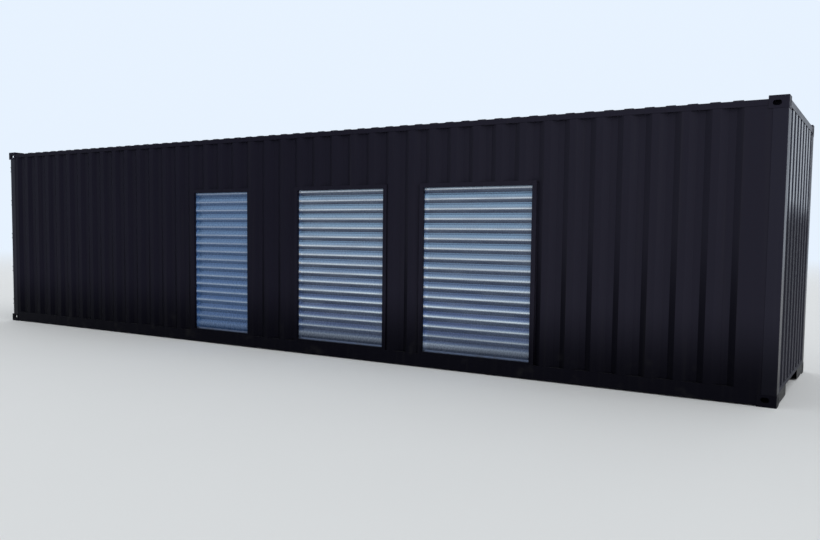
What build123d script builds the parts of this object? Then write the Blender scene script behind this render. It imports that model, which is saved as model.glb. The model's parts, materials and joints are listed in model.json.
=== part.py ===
"""A 40 foot high steel container made over for storage, with three roll-up shutters in one long side.

Units are millimetres. The origin is at the middle of the footprint, on the ground. +X points to the
closed front end, -X to the cargo doors, -Y to the side with the shutters, and +Z up.
"""

import math
import os

from build123d import *

os.makedirs("parts", exist_ok=True)

# Overall size, set by the outer faces of the corner castings
LENGTH = 12192
WIDTH = 2438
HEIGHT = 2896
HALF_L = LENGTH / 2
HALF_W = WIDTH / 2
FRAME_INSET = 3  # rails and posts stand this far inside the castings' faces
PANEL_INSET = 6  # pressed wall panels stand this far inside them
FRAME_X = HALF_L - FRAME_INSET
FRAME_Y = HALF_W - FRAME_INSET
PANEL_X = HALF_L - PANEL_INSET
PANEL_Y = HALF_W - PANEL_INSET

# Corner castings, hollow, with an oblong hole in each of three faces
CAST_L = 178
CAST_W = 162
CAST_H = 118
CAST_PLATE = 28  # the slotted plate, top or bottom
CAST_WALL = 15  # the two outer walls
CAST_BACK = 10  # the walls that the rails and the post are welded to
CAST_CORNER = 12  # radius of the outer upright edge
SLOT_FROM_END = 103.5  # from the casting's end face to the middle of its slot
SLOT_FROM_SIDE = 89.5
SLOT_SPACING_X = LENGTH - 2 * SLOT_FROM_END
SLOT_SPACING_Y = WIDTH - 2 * SLOT_FROM_SIDE
SLOT_LENGTH = 124
SLOT_WIDTH = 63.5
SIDE_HOLE_LENGTH = 79
SIDE_HOLE_HEIGHT = 51
END_HOLE_HEIGHT = 63.5
END_HOLE_WIDTH = 51
HOLE_STEPS = 6  # straight lines that stand for each round end of a side or end hole
HOLE_LEVEL = 68  # from the slotted plate's outer face to the middle of the side and end holes
CAST_INNER_X = HALF_L - CAST_L
CAST_INNER_Y = HALF_W - CAST_W

# Rails
TOP_RAIL = 60  # square tube, seen from the end
TOP_RAIL_WALL = 3
TOP_RAIL_DROP = 31  # from the castings' top to the tube's top
TOP_RAIL_TOP = HEIGHT - TOP_RAIL_DROP
TOP_RAIL_BOTTOM = TOP_RAIL_TOP - TOP_RAIL
TUBE_CORNER = 7
RAIL_BOTTOM = 14  # the base structure's clearance above the ground
RAIL_HEIGHT = 150
RAIL_TOP = RAIL_BOTTOM + RAIL_HEIGHT
RAIL_FLANGE = 48
RAIL_WALL = 4.5
BEND = 8  # outer bend radius of folded posts

# Front posts, folded from plate, with a lip behind each edge
POST_PLATE = 6
FRONT_POST_SIDE = 134
POST_LIP = 40
FRONT_POST_EDGE = FRAME_X - FRONT_POST_SIDE

# Door end: posts, header, sill and leaves stand back so that the lock gear stays inside the castings
DOOR_SETBACK = 44
DOOR_FACE = HALF_L - DOOR_SETBACK
REAR_POST_RETURN = 44
CHANNEL_DEPTH = 113
CHANNEL_WIDTH = 40
CHANNEL_WALL = 12
REAR_POST_EDGE = DOOR_FACE - POST_PLATE - CHANNEL_DEPTH
DOOR_OPENING_Y = FRAME_Y - POST_PLATE - CHANNEL_WIDTH
DOOR_BEAM_FLANGE = 80
DOOR_BEAM_WALL = 6

# Floor and base
CROSS_HEIGHT = 122
CROSS_FLANGE = 45
CROSS_WALL = 4
CROSS_BOTTOM = 22
CROSS_PITCH = 430
CROSS_FROM_DOORS = 232
FIRST_CROSS = -DOOR_FACE + CROSS_FROM_DOORS
CROSS_COUNT = int((FRAME_X - TOP_RAIL - CROSS_FLANGE - FIRST_CROSS) / CROSS_PITCH) + 1
FLOOR_THICK = 28
FLOOR_EDGE_GAP = 2
FLOOR_BOTTOM = CROSS_BOTTOM + CROSS_HEIGHT
FLOOR_TOP = FLOOR_BOTTOM + FLOOR_THICK
TUNNEL_WIDTH = 1029
TUNNEL_HEIGHT = 120
TUNNEL_LENGTH = 3433
TUNNEL_LEAD = 120  # from the tunnel's start to the first cross member over it
TUNNEL_FIRST = int((FRAME_X - TUNNEL_LENGTH - FIRST_CROSS) / CROSS_PITCH) + 1
TUNNEL_START = FIRST_CROSS + TUNNEL_FIRST * CROSS_PITCH - TUNNEL_LEAD
TUNNEL_PLATE = 4

# Pressed sheets: outer flat, slope, inner flat, depth
SHEET = 2
SIDE_OUTER = 76
SIDE_SLOPE = 68
SIDE_INNER = 72
SIDE_DEPTH = 36
SIDE_REAR_FLAT = 79  # flat sheet between the rear post and the first recess
FRONT_OUTER = 119
FRONT_SLOPE = 18
FRONT_INNER = 110
FRONT_DEPTH = 45.6
SIDE_PITCH = SIDE_OUTER + 2 * SIDE_SLOPE + SIDE_INNER
FRONT_PITCH = FRONT_OUTER + 2 * FRONT_SLOPE + FRONT_INNER
SIDE_FIRST = -REAR_POST_EDGE + SIDE_REAR_FLAT
SIDE_COUNT = int((FRONT_POST_EDGE - SIDE_FIRST + SIDE_OUTER) / SIDE_PITCH)
FRONT_COUNT = int((2 * CAST_INNER_Y + FRONT_OUTER) / FRONT_PITCH)

# Roof: cross ridges pressed up out of a flat sheet
ROOF_PITCH = 209
ROOF_RIDGE = 118  # a ridge's width at its foot
ROOF_DEPTH = 20
ROOF_TAPER = 34  # degrees that a ridge's sides lean in
ROOF_END_FLAT = 190  # least flat sheet at each end of the roof
ROOF_LAP = 45  # how far the sheet lies on each side rail
ROOF_RIDGE_MARGIN = 70  # flat sheet left beyond a ridge's end
ROOF_END_GAP = 3
ROOF_HALF_X = CAST_INNER_X - ROOF_END_GAP
ROOF_COUNT = int((2 * (ROOF_HALF_X - ROOF_END_FLAT) - ROOF_RIDGE) / ROOF_PITCH) + 1
HEADER_PLATE = 4

# Shutters: how far the middle of each doorway is from the container's middle, and its clear width
REAR_DOORWAY_PLACE = -1075
REAR_DOORWAY_WIDTH = 1025
MIDDLE_DOORWAY_PLACE = 988
MIDDLE_DOORWAY_WIDTH = 1345
FRONT_DOORWAY_PLACE = 2913
FRONT_DOORWAY_WIDTH = 1375
SHUTTERS = (
    (REAR_DOORWAY_PLACE, REAR_DOORWAY_WIDTH),
    (MIDDLE_DOORWAY_PLACE, MIDDLE_DOORWAY_WIDTH),
    (FRONT_DOORWAY_PLACE, FRONT_DOORWAY_WIDTH),
)
DOORWAY_BOTTOM = 190
DOORWAY_TOP = 2130
JAMB_WIDTH = 50
JAMB_DEPTH = 40
JAMB_WALL = 3
CURTAIN_SHEET = 1.2
CURTAIN_PITCH = 115.8
CURTAIN_DEPTH = 18
RIB_CREST = 46  # flat of a rib's outermost face
RIB_GROOVE = 16  # flat between two ribs
CURTAIN_COVER = 40  # least sheet above the doorway
CURTAIN_EDGE_GAP = 8  # from the curtain's edge to the guide's back
GUIDE_PLAY = 1  # between the curtain's faces and the guide's lips
GUIDE_WALL = 2.5
GUIDE_DEPTH = CURTAIN_DEPTH + 2 * (GUIDE_PLAY + GUIDE_WALL)
GUIDE_REACH = 38  # from the doorway's edge to the guide's back
GUIDE_ABOVE = 250  # how far the guides run on above the doorway
GUIDE_LIP_GAP = 2
BAR_HEIGHT = 38
BAR_WALL = 2

# Cargo doors
DOOR_GAP = 10
DOOR_THICK = 50
DOOR_STILE = 100
DOOR_RAIL = 150
DOOR_RECESSES = 4
DOOR_RECESS_INNER = 180
GASKET_THICK = 14

# Lock gear and hinges
FIT = 0.3  # clearance round the rods and between hinge leaf and lugs
ROD_RADIUS = 17
ROD_STANDOFF = 3.5
ROD_FROM_MIDDLE = 215  # from the line where the doors meet to the first rod
ROD_FROM_HINGES = 255  # from a door's hinged edge to its second rod
STRAP = 4  # thickness of the straps over the rods
STRAP_HEIGHT = 46
STRAP_WIDTH = 100
STRAP_ROWS = 4
STRAP_MARGIN = 156  # from the door's bottom or top edge to the nearest strap
KEEPER_HEIGHT = 46
KEEPER_WIDTH = 104
KEEPER_BASE = 3
KEEPER_PRONG = 13
KEEPER_REACH = 33
CAM_WIDTH = 44
CAM_HEIGHT = 34
HANDLE_ABOVE_STRAP = 59  # from the second row of straps up to the two lower handles
HANDLE_STEP = 140  # how much higher the other two handles are
HANDLE_END_GAP = 170  # from a handle's free end to the next rod
HANDLE_HEIGHT = 38
HANDLE_THICK = 10
CATCH_FROM_END = 190  # from a handle's free end to the far side of its catch
CATCH_WIDTH = 40
CATCH_PLATE = 5
CATCH_LIP = 16
HINGE_COUNT = 5
HINGE_MARGIN = 160  # from the door's bottom or top edge to the middle of the nearest hinge
HINGE_HEIGHT = 60
HINGE_PLATE = 8
HINGE_LENGTH = 150
HINGE_EYE = 14  # half the width of the leaf's eye and of the lugs
HINGE_LUG = 14


def finish(piece, name):
    """Label a finished sub-part and write it to its own file."""
    piece.part.label = name
    export_step(piece.part, f"parts/{name}.step")


def rectangle(x0, y0, x1, y1, mode=Mode.ADD):
    """A rectangle between two corners, in the sketch being made."""
    with Locations(((x0 + x1) / 2, (y0 + y1) / 2)):
        Rectangle(x1 - x0, y1 - y0, mode=mode)


def block(low, high, mode=Mode.ADD):
    """A block between two corners, in the part being made."""
    middle = [(a + b) / 2 for a, b in zip(low, high)]
    with Locations(tuple(middle)):
        Box(*[b - a for a, b in zip(low, high)], mode=mode)


def folded_channel(x0, y0, x1, y1, wall, open_low):
    """A channel folded from plate, in the sketch being made, open at the low or high end of its x."""
    rectangle(x0, y0, x1, y1)
    inner_x = (x0, x1 - wall) if open_low else (x0 + wall, x1)
    rectangle(inner_x[0], y0 + wall, inner_x[1], y1 - wall, mode=Mode.SUBTRACT)


def cut_castings_away():
    """Take the space of the eight corner castings out of the part being made."""
    for level in (CAST_H / 2, HEIGHT - CAST_H / 2):
        with Locations((0, 0, level)):
            with GridLocations(LENGTH - CAST_L, WIDTH - CAST_W, 2, 2):
                Box(CAST_L, CAST_W, CAST_H, mode=Mode.SUBTRACT)


def pressed_line(first, count, outer, slope, inner, depth, start, stop):
    """Corners of a pressed sheet's outer face from start to stop, as (along, depth in)."""
    pitch = outer + 2 * slope + inner
    corners = [(start - pitch, 0)]
    for k in range(count):
        at = first + k * pitch
        corners += [(at, 0), (at + slope, depth), (at + slope + inner, depth)]
        corners += [(at + 2 * slope + inner, 0)]
    corners += [(stop + pitch, 0)]

    def depth_at(x):
        for (xa, da), (xb, db) in zip(corners, corners[1:]):
            if xa <= x <= xb and xb > xa:
                return da + (db - da) * (x - xa) / (xb - xa)
        return 0

    between = [corner for corner in corners if start < corner[0] < stop]
    return [(start, depth_at(start)), *between, (stop, depth_at(stop))]


def side_wall(stretches, bottom, side):
    """Stretches of the side wall's pressed sheet up to the top rail, on the side of this sign of Y."""
    with BuildPart() as wall:
        for start, stop in stretches:
            line = pressed_line(
                SIDE_FIRST, SIDE_COUNT, SIDE_OUTER, SIDE_SLOPE, SIDE_INNER, SIDE_DEPTH, start, stop
            )
            outer = [(x, side * (PANEL_Y - d)) for x, d in line]
            inner = [(x, side * (PANEL_Y - d - SHEET)) for x, d in reversed(line)]
            with BuildSketch(Plane.XY.offset(bottom)):
                with BuildLine():
                    Polyline(*outer, *inner, close=True)
                make_face()
            extrude(amount=TOP_RAIL_BOTTOM - bottom)
        cut_castings_away()
    return wall


def oblong(length, height, rotation=0):
    """An oblong hole with its round ends drawn in a few straight lines, in the sketch being made."""
    radius = height / 2
    turns = [math.pi * k / HOLE_STEPS for k in range(HOLE_STEPS + 1)]
    end = [(length / 2 - radius + radius * math.sin(a), radius * math.cos(a)) for a in turns]
    Polygon(*end, *[(-x, -y) for x, y in end], rotation=rotation, align=None)


# Corner castings
def corner_castings(level, outward):
    """Four castings whose slotted plate is at this level and faces up (+1) or down (-1)."""
    cavity_l = CAST_L - CAST_WALL - CAST_BACK
    cavity_w = CAST_W - CAST_WALL - CAST_BACK
    cavity_h = CAST_H - CAST_PLATE - CAST_BACK
    hole_z = level - outward * HOLE_LEVEL
    with BuildPart() as castings:
        with BuildSketch(Plane.XY.offset(level)):
            RectangleRounded(LENGTH, WIDTH, CAST_CORNER)
            with GridLocations(LENGTH - CAST_L, WIDTH - CAST_W, 2, 2):
                Rectangle(CAST_L, CAST_W, mode=Mode.INTERSECT)
        extrude(amount=-outward * CAST_H)
        with BuildSketch(Plane.XY.offset(level - outward * CAST_PLATE)):
            with GridLocations(LENGTH - 2 * CAST_WALL - cavity_l, WIDTH - 2 * CAST_WALL - cavity_w, 2, 2):
                Rectangle(cavity_l, cavity_w)
        extrude(amount=-outward * cavity_h, mode=Mode.SUBTRACT)
        with BuildSketch(Plane.XY.offset(level)):
            with GridLocations(SLOT_SPACING_X, SLOT_SPACING_Y, 2, 2):
                SlotOverall(SLOT_LENGTH, SLOT_WIDTH)
        extrude(amount=-outward * (CAST_PLATE + CAST_BACK), mode=Mode.SUBTRACT)
        for side in (-1, 1):
            with BuildSketch(Plane((0, side * HALF_W, hole_z), x_dir=(1, 0, 0), z_dir=(0, side, 0))):
                with GridLocations(SLOT_SPACING_X, 0, 2, 1):
                    oblong(SIDE_HOLE_LENGTH, SIDE_HOLE_HEIGHT)
            extrude(amount=-(CAST_WALL + CAST_BACK), mode=Mode.SUBTRACT)
            with BuildSketch(Plane((side * HALF_L, 0, hole_z), x_dir=(0, 1, 0), z_dir=(side, 0, 0))):
                with GridLocations(SLOT_SPACING_Y, 0, 2, 1):
                    oblong(END_HOLE_HEIGHT, END_HOLE_WIDTH, rotation=90)
            extrude(amount=-(CAST_WALL + CAST_BACK), mode=Mode.SUBTRACT)
    return castings


finish(corner_castings(HEIGHT, 1), "top_corner_castings")
finish(corner_castings(0, -1), "bottom_corner_castings")

# Front corner posts: two legs of folded plate with lips
with BuildPart() as front_corner_posts:
    post_width = FRAME_Y - CAST_INNER_Y
    with BuildSketch(Plane.XY.offset(CAST_H)):
        RectangleRounded(2 * FRAME_X, 2 * FRAME_Y, BEND)
        with Locations(((FRONT_POST_EDGE + FRAME_X) / 2, 0)):
            with GridLocations(0, 2 * FRAME_Y - post_width, 1, 2):
                Rectangle(FRONT_POST_SIDE, post_width, mode=Mode.INTERSECT)
                Rectangle(
                    FRONT_POST_SIDE - 2 * POST_PLATE, post_width - 2 * POST_PLATE, mode=Mode.SUBTRACT
                )
        for side in (-1, 1):
            near_y, far_y = sorted((side * CAST_INNER_Y, side * (FRAME_Y - POST_LIP)))
            rectangle(FRONT_POST_EDGE, near_y, FRAME_X - POST_LIP, far_y, mode=Mode.SUBTRACT)
    extrude(amount=HEIGHT - 2 * CAST_H)
finish(front_corner_posts, "front_corner_posts")

# Rear corner posts: a folded outer plate and a rolled channel against the doors
with BuildPart() as rear_corner_posts:
    for side in (-1, 1):
        leg_y = side * (FRAME_Y - POST_PLATE / 2)
        leg_x = -DOOR_FACE + POST_PLATE / 2
        with BuildSketch(Plane.XY.offset(CAST_H)):
            with BuildLine():
                FilletPolyline(
                    (-REAR_POST_EDGE, leg_y),
                    (leg_x, leg_y),
                    (leg_x, side * (FRAME_Y - REAR_POST_RETURN)),
                    radius=BEND - POST_PLATE / 2,
                )
            trace(line_width=POST_PLATE)
            near_y, far_y = sorted((side * DOOR_OPENING_Y, side * (FRAME_Y - POST_PLATE)))
            rectangle(-DOOR_FACE + POST_PLATE, near_y, -REAR_POST_EDGE, far_y)
            near_y, far_y = sorted((side * (DOOR_OPENING_Y + CHANNEL_WALL), side * (FRAME_Y - POST_PLATE)))
            rectangle(
                -DOOR_FACE + POST_PLATE + CHANNEL_WALL,
                near_y,
                -REAR_POST_EDGE - CHANNEL_WALL,
                far_y,
                mode=Mode.SUBTRACT,
            )
        extrude(amount=HEIGHT - 2 * CAST_H)
finish(rear_corner_posts, "rear_corner_posts")

# Top side rails: square tube between the top castings
with BuildPart() as top_side_rails:
    with BuildSketch(Plane.YZ.offset(-CAST_INNER_X)):
        with Locations((0, (TOP_RAIL_TOP + TOP_RAIL_BOTTOM) / 2)):
            with GridLocations(2 * FRAME_Y - TOP_RAIL, 0, 2, 1):
                RectangleRounded(TOP_RAIL, TOP_RAIL, TUBE_CORNER)
                Rectangle(TOP_RAIL - 2 * TOP_RAIL_WALL, TOP_RAIL - 2 * TOP_RAIL_WALL, mode=Mode.SUBTRACT)
    extrude(amount=2 * CAST_INNER_X)
finish(top_side_rails, "top_side_rails")

# Bottom side rails: folded channels, open inwards, notched over the castings
with BuildPart() as bottom_side_rails:
    with BuildSketch(Plane.YZ.offset(-REAR_POST_EDGE)):
        folded_channel(-FRAME_Y, RAIL_BOTTOM, -FRAME_Y + RAIL_FLANGE, RAIL_TOP, RAIL_WALL, False)
        folded_channel(FRAME_Y - RAIL_FLANGE, RAIL_BOTTOM, FRAME_Y, RAIL_TOP, RAIL_WALL, True)
    extrude(amount=REAR_POST_EDGE + FRONT_POST_EDGE)
    cut_castings_away()
finish(bottom_side_rails, "bottom_side_rails")

# Front top rail: square tube with the roof's end plate on it
with BuildPart() as front_top_rail:
    with BuildSketch(Plane.XZ.offset(-CAST_INNER_Y)):
        with Locations((FRAME_X - TOP_RAIL / 2, (TOP_RAIL_TOP + TOP_RAIL_BOTTOM) / 2)):
            Rectangle(TOP_RAIL, TOP_RAIL)
            Rectangle(TOP_RAIL - 2 * TOP_RAIL_WALL, TOP_RAIL - 2 * TOP_RAIL_WALL, mode=Mode.SUBTRACT)
        rectangle(CAST_INNER_X - ROOF_END_GAP, TOP_RAIL_TOP, FRAME_X, TOP_RAIL_TOP + HEADER_PLATE)
    extrude(amount=2 * CAST_INNER_Y)
finish(front_top_rail, "front_top_rail")

# Front sill: a flat tube over the tunnel, and folded bolsters below it at each side
SILL_BOTTOM = TUNNEL_HEIGHT + TUNNEL_PLATE
TUNNEL_SIDE = TUNNEL_WIDTH / 2 + TUNNEL_PLATE
with BuildPart() as front_sill:
    with BuildSketch(Plane.XZ.offset(-CAST_INNER_Y)):
        with Locations((FRAME_X - TOP_RAIL / 2, (SILL_BOTTOM + RAIL_TOP) / 2)):
            Rectangle(TOP_RAIL, RAIL_TOP - SILL_BOTTOM)
            Rectangle(
                TOP_RAIL - 2 * RAIL_WALL, RAIL_TOP - SILL_BOTTOM - 2 * RAIL_WALL, mode=Mode.SUBTRACT
            )
    extrude(amount=2 * CAST_INNER_Y)
finish(front_sill, "front_sill")

with BuildPart() as front_bolsters:
    for side in (-1, 1):
        inner_y, outer_y = sorted((side * TUNNEL_SIDE, side * CAST_INNER_Y))
        with BuildSketch(Plane.XZ.offset(-outer_y)):
            folded_channel(FRAME_X - TOP_RAIL, RAIL_BOTTOM, FRAME_X, SILL_BOTTOM, RAIL_WALL, True)
        extrude(amount=outer_y - inner_y)
finish(front_bolsters, "front_bolsters")

# Door header and door sill: folded channels, open inwards
DOOR_TOP = HEIGHT - CAST_H
BEAM_BACK = -DOOR_FACE + DOOR_BEAM_FLANGE
with BuildPart() as door_header:
    with BuildSketch(Plane.XZ.offset(-CAST_INNER_Y)):
        folded_channel(-DOOR_FACE, DOOR_TOP, BEAM_BACK, TOP_RAIL_TOP, DOOR_BEAM_WALL, False)
        rectangle(-DOOR_FACE, TOP_RAIL_TOP, -CAST_INNER_X + ROOF_END_GAP, TOP_RAIL_TOP + HEADER_PLATE)
    extrude(amount=2 * CAST_INNER_Y)
finish(door_header, "door_header")

with BuildPart() as door_sill:
    with BuildSketch(Plane.XZ.offset(-DOOR_OPENING_Y)):
        folded_channel(-DOOR_FACE, RAIL_BOTTOM, BEAM_BACK, RAIL_TOP, DOOR_BEAM_WALL, False)
    extrude(amount=2 * DOOR_OPENING_Y)
    cut_castings_away()
finish(door_sill, "door_sill")

# Roof: one sheet with cross ridges that end short of the rails
ROOF_HALF_Y = FRAME_Y - TOP_RAIL + ROOF_LAP
RIDGE_LENGTH = 2 * (ROOF_HALF_Y - ROOF_RIDGE_MARGIN)
with BuildPart() as roof_panel:
    with BuildSketch(Plane.XY.offset(TOP_RAIL_TOP)):
        Rectangle(2 * ROOF_HALF_X, 2 * ROOF_HALF_Y)
    extrude(amount=SHEET)
    with BuildSketch(Plane.XY.offset(TOP_RAIL_TOP + SHEET)):
        with GridLocations(ROOF_PITCH, 0, ROOF_COUNT, 1):
            Rectangle(ROOF_RIDGE, RIDGE_LENGTH)
    extrude(amount=ROOF_DEPTH, taper=ROOF_TAPER)
    with BuildSketch(Plane.XY.offset(TOP_RAIL_TOP)):
        with GridLocations(ROOF_PITCH, 0, ROOF_COUNT, 1):
            Rectangle(ROOF_RIDGE, RIDGE_LENGTH)
    extrude(amount=ROOF_DEPTH, taper=ROOF_TAPER, mode=Mode.SUBTRACT)
finish(roof_panel, "roof_panel")

# Floor, cross members and the tunnel for a trailer's neck
FLOOR_HALF_Y = FRAME_Y - RAIL_FLANGE - FLOOR_EDGE_GAP
FLOOR_START = -DOOR_FACE + DOOR_BEAM_FLANGE + FLOOR_EDGE_GAP
FLOOR_STOP = FRAME_X - TOP_RAIL - FLOOR_EDGE_GAP
with BuildPart() as floor_boards:
    block((FLOOR_START, -FLOOR_HALF_Y, FLOOR_BOTTOM), (FLOOR_STOP, FLOOR_HALF_Y, FLOOR_TOP))
finish(floor_boards, "floor_boards")

with BuildPart() as cross_members:
    for k in range(CROSS_COUNT):
        web_x = FIRST_CROSS + k * CROSS_PITCH
        web_end = FRAME_Y - RAIL_WALL
        with BuildSketch(Plane.XZ.offset(-web_end)):
            rectangle(web_x, CROSS_BOTTOM, web_x + CROSS_FLANGE, FLOOR_BOTTOM)
            rectangle(
                web_x + CROSS_WALL,
                CROSS_BOTTOM + CROSS_WALL,
                web_x + CROSS_FLANGE,
                FLOOR_BOTTOM - CROSS_WALL,
                mode=Mode.SUBTRACT,
            )
        extrude(amount=2 * web_end)
    block((TUNNEL_START, -TUNNEL_SIDE, 0), (FRAME_X, TUNNEL_SIDE, FLOOR_BOTTOM), mode=Mode.SUBTRACT)
finish(cross_members, "cross_members")

with BuildPart() as tunnel_plate:
    plate_top = TUNNEL_HEIGHT + TUNNEL_PLATE
    block((TUNNEL_START, -TUNNEL_SIDE, TUNNEL_HEIGHT), (FRAME_X - TOP_RAIL, TUNNEL_SIDE, plate_top))
    for k in range(CROSS_COUNT):
        web_x = FIRST_CROSS + k * CROSS_PITCH
        if web_x > TUNNEL_START:
            block((web_x, -TUNNEL_SIDE, plate_top), (web_x + CROSS_FLANGE, TUNNEL_SIDE, FLOOR_BOTTOM))
finish(tunnel_plate, "tunnel_plate")

with BuildPart() as tunnel_webs:
    for side in (-1, 1):
        web_in, web_out = sorted((side * (TUNNEL_SIDE - TUNNEL_PLATE), side * TUNNEL_SIDE))
        block((TUNNEL_START, web_in, RAIL_BOTTOM), (FRAME_X - TOP_RAIL, web_out, TUNNEL_HEIGHT))
finish(tunnel_webs, "tunnel_webs")

# Side wall without shutters
finish(side_wall([(-REAR_POST_EDGE, FRONT_POST_EDGE)], RAIL_TOP, 1), "plain_side_wall")

# Side wall with shutters: panels beside and over the doorways
SURROUND_TOP = DOORWAY_TOP + JAMB_WIDTH
cuts = [-REAR_POST_EDGE]
for middle, width in SHUTTERS:
    cuts += [middle - width / 2 - JAMB_WIDTH, middle + width / 2 + JAMB_WIDTH]
cuts += [FRONT_POST_EDGE]
PANEL_NAMES = ("side_wall_rear", "side_wall_mid_rear", "side_wall_mid_front", "side_wall_front")
for name, start, stop in zip(PANEL_NAMES, cuts[0::2], cuts[1::2]):
    finish(side_wall([(start, stop)], RAIL_TOP, -1), name)
finish(side_wall(list(zip(cuts[1::2], cuts[2::2])), SURROUND_TOP, -1), "walls_over_shutters")

# Front end wall
with BuildPart() as front_wall:
    first = -(FRONT_COUNT * FRONT_PITCH - FRONT_OUTER) / 2
    line = pressed_line(
        first,
        FRONT_COUNT,
        FRONT_OUTER,
        FRONT_SLOPE,
        FRONT_INNER,
        FRONT_DEPTH,
        -CAST_INNER_Y,
        CAST_INNER_Y,
    )
    with BuildSketch(Plane.XY.offset(RAIL_TOP)):
        with BuildLine():
            Polyline(
                *[(PANEL_X - d, y) for y, d in line],
                *[(PANEL_X - d - SHEET, y) for y, d in reversed(line)],
                close=True,
            )
        make_face()
    extrude(amount=TOP_RAIL_BOTTOM - RAIL_TOP)
finish(front_wall, "front_wall")


# Shutters: jambs, head and sill of tube, guides behind the jambs, a ribbed curtain and its bottom bar
def jambs(middle, width):
    with BuildPart() as pair:
        with BuildSketch(Plane.XY.offset(RAIL_TOP)):
            with Locations((middle, -PANEL_Y + JAMB_DEPTH / 2)):
                with GridLocations(width + JAMB_WIDTH, 0, 2, 1):
                    Rectangle(JAMB_WIDTH, JAMB_DEPTH)
                    Rectangle(JAMB_WIDTH - 2 * JAMB_WALL, JAMB_DEPTH - 2 * JAMB_WALL, mode=Mode.SUBTRACT)
        extrude(amount=SURROUND_TOP - RAIL_TOP)
    return pair


def head_and_sill(middle, width):
    with BuildPart() as pair:
        with BuildSketch(Plane.YZ.offset(middle - width / 2)):
            for low, high in ((RAIL_TOP, DOORWAY_BOTTOM), (DOORWAY_TOP, SURROUND_TOP)):
                with Locations((-PANEL_Y + JAMB_DEPTH / 2, (low + high) / 2)):
                    Rectangle(JAMB_DEPTH, high - low)
                    Rectangle(JAMB_DEPTH - 2 * JAMB_WALL, high - low - 2 * JAMB_WALL, mode=Mode.SUBTRACT)
        extrude(amount=width)
    return pair


GUIDE_FRONT = -PANEL_Y + JAMB_DEPTH
CURTAIN_Y = GUIDE_FRONT + GUIDE_DEPTH / 2


def guides(middle, width):
    with BuildPart() as pair:
        for side in (-1, 1):
            mouth = middle + side * (width / 2 + GUIDE_LIP_GAP)
            back = middle + side * (width / 2 + GUIDE_REACH)
            x0, x1 = sorted((mouth, back))
            i0, i1 = sorted((mouth, back - side * GUIDE_WALL))
            with BuildSketch(Plane.XY.offset(FLOOR_TOP)):
                rectangle(x0, GUIDE_FRONT, x1, GUIDE_FRONT + GUIDE_DEPTH)
                rectangle(
                    i0,
                    GUIDE_FRONT + GUIDE_WALL,
                    i1,
                    GUIDE_FRONT + GUIDE_DEPTH - GUIDE_WALL,
                    mode=Mode.SUBTRACT,
                )
            extrude(amount=DOORWAY_TOP + GUIDE_ABOVE - FLOOR_TOP)
    return pair


def curtain(middle, width):
    """A sheet rolled into level ribs, from the bottom bar up to just above the doorway."""
    bottom = FLOOR_TOP + BAR_HEIGHT
    ribs = int((DOORWAY_TOP + CURTAIN_COVER - bottom) / CURTAIN_PITCH) + 1
    slope = (CURTAIN_PITCH - RIB_CREST - RIB_GROOVE) / 2
    half_width = width / 2 + GUIDE_REACH - GUIDE_WALL - CURTAIN_EDGE_GAP
    crest_y = CURTAIN_Y - CURTAIN_DEPTH / 2
    groove_y = CURTAIN_Y + CURTAIN_DEPTH / 2 - CURTAIN_SHEET
    line = [(groove_y, bottom)]
    for k in range(ribs):
        low = bottom + k * CURTAIN_PITCH + RIB_GROOVE / 2
        line += [(groove_y, low), (crest_y, low + slope), (crest_y, low + slope + RIB_CREST)]
        line += [(groove_y, low + 2 * slope + RIB_CREST)]
    line += [(groove_y, bottom + ribs * CURTAIN_PITCH)]
    with BuildPart() as sheet:
        with BuildSketch(Plane.YZ.offset(middle - half_width)):
            with BuildLine():
                Polyline(*line, *[(y + CURTAIN_SHEET, z) for y, z in reversed(line)], close=True)
            make_face()
        extrude(amount=2 * half_width)
    return sheet


def bottom_bar(middle, width):
    half_width = width / 2 + GUIDE_REACH - GUIDE_WALL - CURTAIN_EDGE_GAP
    front = CURTAIN_Y - CURTAIN_DEPTH / 2
    with BuildPart() as bar:
        with BuildSketch(Plane.YZ.offset(middle - half_width)):
            rectangle(front, FLOOR_TOP, front + CURTAIN_DEPTH, FLOOR_TOP + BAR_HEIGHT)
            rectangle(
                front + BAR_WALL,
                FLOOR_TOP + BAR_WALL,
                front + CURTAIN_DEPTH - BAR_WALL,
                FLOOR_TOP + BAR_HEIGHT - BAR_WALL,
                mode=Mode.SUBTRACT,
            )
        extrude(amount=2 * half_width)
    return bar


for number, (middle, width) in enumerate(SHUTTERS, start=1):
    finish(jambs(middle, width), f"shutter_{number}_jambs")
    finish(head_and_sill(middle, width), f"shutter_{number}_head_and_sill")
    finish(guides(middle, width), f"shutter_{number}_guides")
    finish(curtain(middle, width), f"shutter_{number}_curtain")
    finish(bottom_bar(middle, width), f"shutter_{number}_bottom_bar")

# Cargo doors: a frame round a pressed panel
DOOR_LOW = RAIL_TOP + DOOR_GAP
DOOR_HIGH = DOOR_TOP - DOOR_GAP
DOOR_OUTER_Y = DOOR_OPENING_Y - DOOR_GAP
DOOR_INNER_Y = DOOR_GAP / 2


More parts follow.
